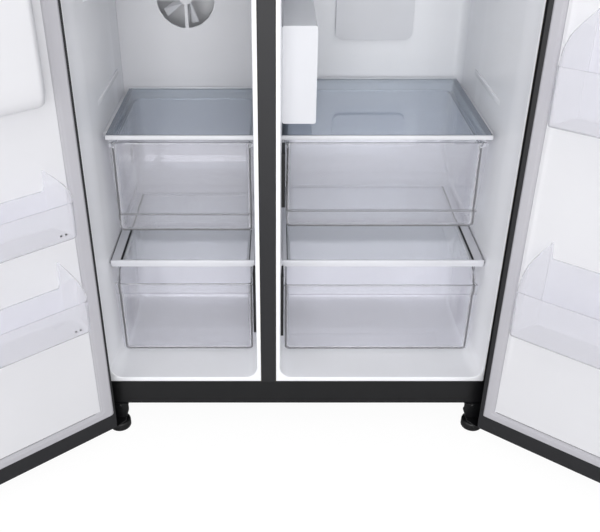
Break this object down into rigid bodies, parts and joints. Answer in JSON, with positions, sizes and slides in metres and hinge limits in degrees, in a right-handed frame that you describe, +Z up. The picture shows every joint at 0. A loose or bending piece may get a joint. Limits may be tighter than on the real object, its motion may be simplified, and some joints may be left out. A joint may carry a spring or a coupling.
{
  "type": "side by side refrigerator",
  "caption": "Free-standing side by side refrigerator with freezer left, fresh food right, hinged doors open, clear drawers, shelves, door bins and a dispenser.",
  "frame": {"origin": "on the floor under the middle of the box round the whole object with its doors open", "axes": "+Z up, +Y from the front towards the back, +X to the right seen from the front"},
  "size_m": [1.621, 0.9852, 1.784],
  "materials": {
    "dark_steel": "satin powder coat",
    "black_steel": "black powder coat",
    "grey_steel": "galvanised sheet",
    "liner": "satin vacuum formed sheet",
    "door_liner": "satin vacuum formed sheet",
    "white_plastic": "satin moulding",
    "clear_plastic": "clear polystyrene",
    "grey_plastic": "satin moulding",
    "black_plastic": "textured moulding",
    "foam": "rigid foam",
    "gasket": "soft extrusion",
    "tinted_glass": "tempered, grey tint",
    "clear_glass": "tempered",
    "bare_aluminium": "satin",
    "painted_tube": "black enamel"
  },
  "bodies": {
    "cabinet": {"cabinet_shell": "dark_steel", "cabinet_foam": "foam", "freezer_liner": "liner", "fridge_liner": "liner", "mullion_cover": "dark_steel", "base_panel": "black_steel", "back_panel": "grey_steel", "compressor_tray": "grey_steel", "compressor": "black_steel", "condenser_coil": "painted_tube", "drip_pan": "black_plastic", "rear_cover": "grey_steel", "cord_gland": "black_plastic", "evaporator_cover": "door_liner", "evaporator": "bare_aluminium", "air_duct": "white_plastic", "filter_housing": "white_plastic", "water_filter": "grey_plastic", "ice_bin": "clear_plastic", "ice_maker": "bare_aluminium", "freezer_top_shelf_frame": "white_plastic", "freezer_top_shelf_glass": "tinted_glass", "freezer_middle_shelf_frame": "white_plastic", "freezer_middle_shelf_glass": "clear_glass", "freezer_upper_shelf": "clear_glass", "fridge_top_shelf_frame": "white_plastic", "fridge_top_shelf_glass": "tinted_glass", "fridge_middle_shelf_frame": "white_plastic", "fridge_middle_shelf_glass": "clear_glass", "fridge_upper_shelf": "clear_glass", "lower_hinge_left": "black_steel", "upper_hinge_left": "black_steel", "foot_left": "black_plastic", "lower_hinge_right": "black_steel", "upper_hinge_right": "black_steel", "foot_right": "black_plastic"},
    "freezer_door": {"freezer_door_panel": "dark_steel", "freezer_door_liner": "door_liner", "freezer_door_gasket": "gasket", "freezer_door_handle": "dark_steel", "freezer_door_bin_low": "clear_plastic", "freezer_door_bin_middle": "clear_plastic", "dispenser_housing": "black_plastic", "dispenser_panel": "black_plastic"},
    "fridge_door": {"fridge_door_panel": "dark_steel", "fridge_door_liner": "door_liner", "fridge_door_gasket": "gasket", "fridge_door_handle": "dark_steel", "fridge_door_bin_low": "clear_plastic", "fridge_door_bin_middle": "clear_plastic", "fridge_door_bin_high": "clear_plastic"},
    "freezer_upper_drawer": {"freezer_upper_drawer": "clear_plastic"},
    "freezer_lower_drawer": {"freezer_lower_drawer": "clear_plastic"},
    "fridge_upper_drawer": {"fridge_upper_drawer": "clear_plastic"},
    "fridge_lower_drawer": {"fridge_lower_drawer": "clear_plastic"},
    "dispenser_paddle": {"dispenser_paddle": "grey_plastic"},
    "condenser_fan": {"condenser_fan": "black_plastic"},
    "evaporator_fan": {"evaporator_fan": "white_plastic"},
    "rear_roller_left": {"rear_roller_left": "black_plastic"},
    "rear_roller_right": {"rear_roller_right": "black_plastic"}
  },
  "joints": [
    {"name": "freezer_door_hinge", "type": "hinge", "parent": "cabinet", "child": "freezer_door", "pos_m": [-0.49432, -0.14469, 0.9], "axis": [0, 0, -1], "range_deg": [-140.2, 5]},
    {"name": "fridge_door_hinge", "type": "hinge", "parent": "cabinet", "child": "fridge_door", "pos_m": [0.38568, -0.14469, 0.9], "axis": [0, 0, 1], "range_deg": [-142.1, 3]},
    {"name": "freezer_upper_drawer_slide", "type": "slide", "parent": "cabinet", "child": "freezer_upper_drawer", "axis": [0, -1, 0], "range_m": [0, 0.25]},
    {"name": "fridge_upper_drawer_slide", "type": "slide", "parent": "cabinet", "child": "fridge_upper_drawer", "axis": [0, -1, 0], "range_m": [0, 0.25]},
    {"name": "freezer_lower_drawer_slide", "type": "slide", "parent": "cabinet", "child": "freezer_lower_drawer", "axis": [0, -1, 0], "range_m": [0, 0.2]},
    {"name": "fridge_lower_drawer_slide", "type": "slide", "parent": "cabinet", "child": "fridge_lower_drawer", "axis": [0, -1, 0], "range_m": [0, 0.2]},
    {"name": "dispenser_paddle_pivot", "type": "hinge", "parent": "freezer_door", "child": "dispenser_paddle", "pos_m": [-0.61136, -0.28386, 1.127], "axis": [-0.7683, -0.6401, 0], "range_deg": [0, 12], "stiffness_Nm_per_rad": 0.6},
    {"name": "condenser_fan_shaft", "type": "hinge", "parent": "cabinet", "child": "condenser_fan", "pos_m": [-0.02032, 0.39881, 0.144], "axis": [1, 0, 0], "continuous": true},
    {"name": "evaporator_fan_shaft", "type": "hinge", "parent": "cabinet", "child": "evaporator_fan", "pos_m": [-0.31382, 0.36261, 0.905], "axis": [0, 1, 0], "continuous": true},
    {"name": "rear_roller_left_axle", "type": "hinge", "parent": "cabinet", "child": "rear_roller_left", "pos_m": [-0.45232, 0.44331, 0.016], "axis": [1, 0, 0], "continuous": true},
    {"name": "rear_roller_right_axle", "type": "hinge", "parent": "cabinet", "child": "rear_roller_right", "pos_m": [0.34368, 0.44331, 0.016], "axis": [1, 0, 0], "continuous": true}
  ]
}
